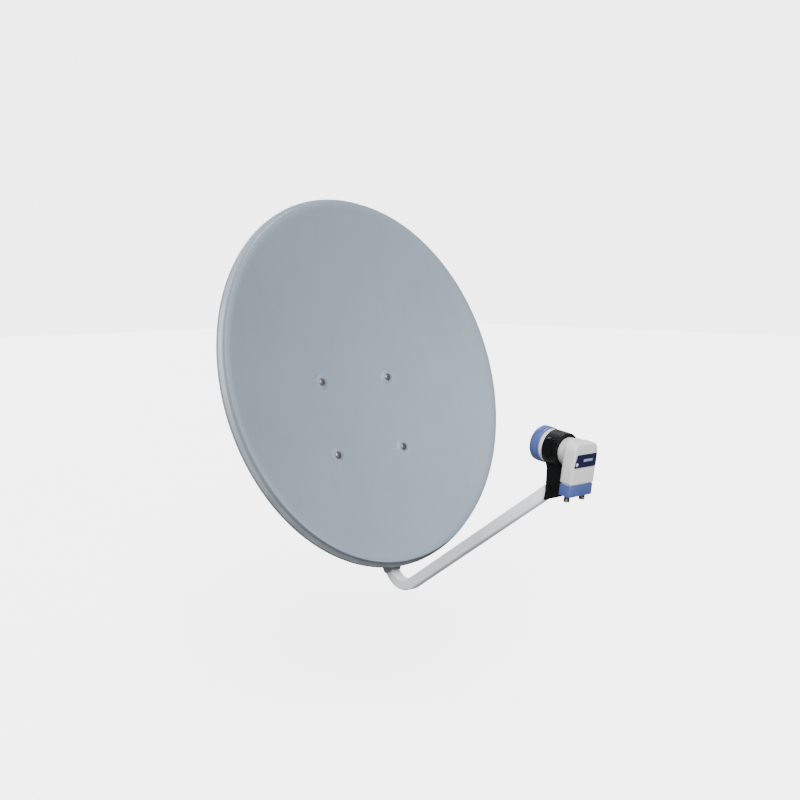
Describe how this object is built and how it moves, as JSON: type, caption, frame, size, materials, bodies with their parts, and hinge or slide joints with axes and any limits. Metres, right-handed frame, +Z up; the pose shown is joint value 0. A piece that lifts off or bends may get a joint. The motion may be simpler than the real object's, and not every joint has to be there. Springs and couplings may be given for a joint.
{
  "type": "satellite dish",
  "caption": "Offset satellite dish on a short wall bracket: grey stepped-rim reflector, white bent feed arm, and an LNB with blue cap and weather boot in a black clamp.",
  "frame": {"origin": "centre of the wall plate's rear face, on the wall", "axes": "+Z up, +Y into the wall, +X across; the dish looks towards -Y"},
  "size_m": [0.63, 0.7326, 0.688],
  "materials": {
    "dish_grey": "light grey polyester powder coat on pressed steel, satin",
    "arm_white": "off-white powder coat on steel tube, satin",
    "galvanised": "hot-dip galvanised steel with faint spangle",
    "bracket_grey": "dark grey-green powder coat, matt",
    "zinc": "bright zinc plated fasteners",
    "black_steel": "black zinc plated steel screws",
    "bolt_grey": "dull grey passivated steel coach bolts",
    "black_plastic": "UV-stable black plastic, fine moulded texture",
    "lnb_white": "light grey ABS, fine moulded texture",
    "cap_blue": "mid blue plastic, satin",
    "label_navy": "printed film label, navy with plain light marks",
    "board_green": "green solder mask",
    "nickel": "nickel plated brass"
  },
  "bodies": {
    "wall_mount": {"wall_plate": "galvanised", "mast_tube": "galvanised", "mast_cap": "black_plastic"},
    "azimuth_head": {"azimuth_bracket": "galvanised", "mast_saddle_lower": "galvanised", "mast_saddle_upper": "galvanised", "u_bolt_lower": "zinc", "u_bolt_upper": "zinc", "u_bolt_nut_lower_left": "zinc", "u_bolt_nut_lower_right": "zinc", "u_bolt_nut_upper_left": "zinc", "u_bolt_nut_upper_right": "zinc"},
    "reflector_head": {"reflector": "dish_grey", "back_bracket": "galvanised", "dish_bolt_upper_left": "bolt_grey", "dish_bolt_upper_right": "bolt_grey", "dish_bolt_lower_left": "bolt_grey", "dish_bolt_lower_right": "bolt_grey", "dish_nut_upper_left": "zinc", "dish_nut_upper_right": "zinc", "dish_nut_lower_left": "zinc", "dish_nut_lower_right": "zinc", "pivot_bolt": "zinc", "pivot_nut": "zinc", "lock_bolt_left": "zinc", "lock_bolt_right": "zinc", "lock_nut_left": "zinc", "lock_nut_right": "zinc", "feed_arm": "arm_white", "arm_end_plug": "black_plastic", "arm_channel": "bracket_grey", "arm_bolt_lower": "zinc", "arm_bolt_upper": "zinc", "arm_nut_lower": "zinc", "arm_nut_upper": "zinc", "arm_spacer_lower_left": "zinc", "arm_spacer_lower_right": "zinc", "arm_spacer_upper_left": "zinc", "arm_spacer_upper_right": "zinc", "rim_stay": "bracket_grey", "lnb_holder": "black_plastic", "lnb_clamp_cap": "black_plastic", "clamp_screw_left": "black_steel", "clamp_screw_right": "black_steel", "holder_screw": "black_steel", "holder_nut": "black_steel"},
    "lnb": {"lnb_housing": "lnb_white", "lnb_cover": "lnb_white", "lnb_label": "label_navy", "lnb_board": "board_green", "feed_horn": "lnb_white", "feed_cap": "cap_blue", "f_connector_left": "nickel", "f_connector_right": "nickel"},
    "boot": {"weather_boot": "cap_blue"}
  },
  "joints": [
    {"name": "azimuth", "type": "hinge", "parent": "wall_mount", "child": "azimuth_head", "pos_m": [0, -0.125, 0.112], "axis": [0, 0, 1], "range_deg": [-25, 25]},
    {"name": "elevation", "type": "hinge", "parent": "azimuth_head", "child": "reflector_head", "pos_m": [0, -0.168, 0.052], "axis": [-1, 0, 0], "range_deg": [-18, 12]},
    {"name": "lnb_skew", "type": "hinge", "parent": "reflector_head", "child": "lnb", "pos_m": [0, -0.6405, 0.0544], "axis": [0, 0.989, 0.1478], "range_deg": [-25, 25]},
    {"name": "boot_slide", "type": "slide", "parent": "lnb", "child": "boot", "axis": [0, 0.1478, -0.989], "range_m": [0, 0.011]}
  ]
}
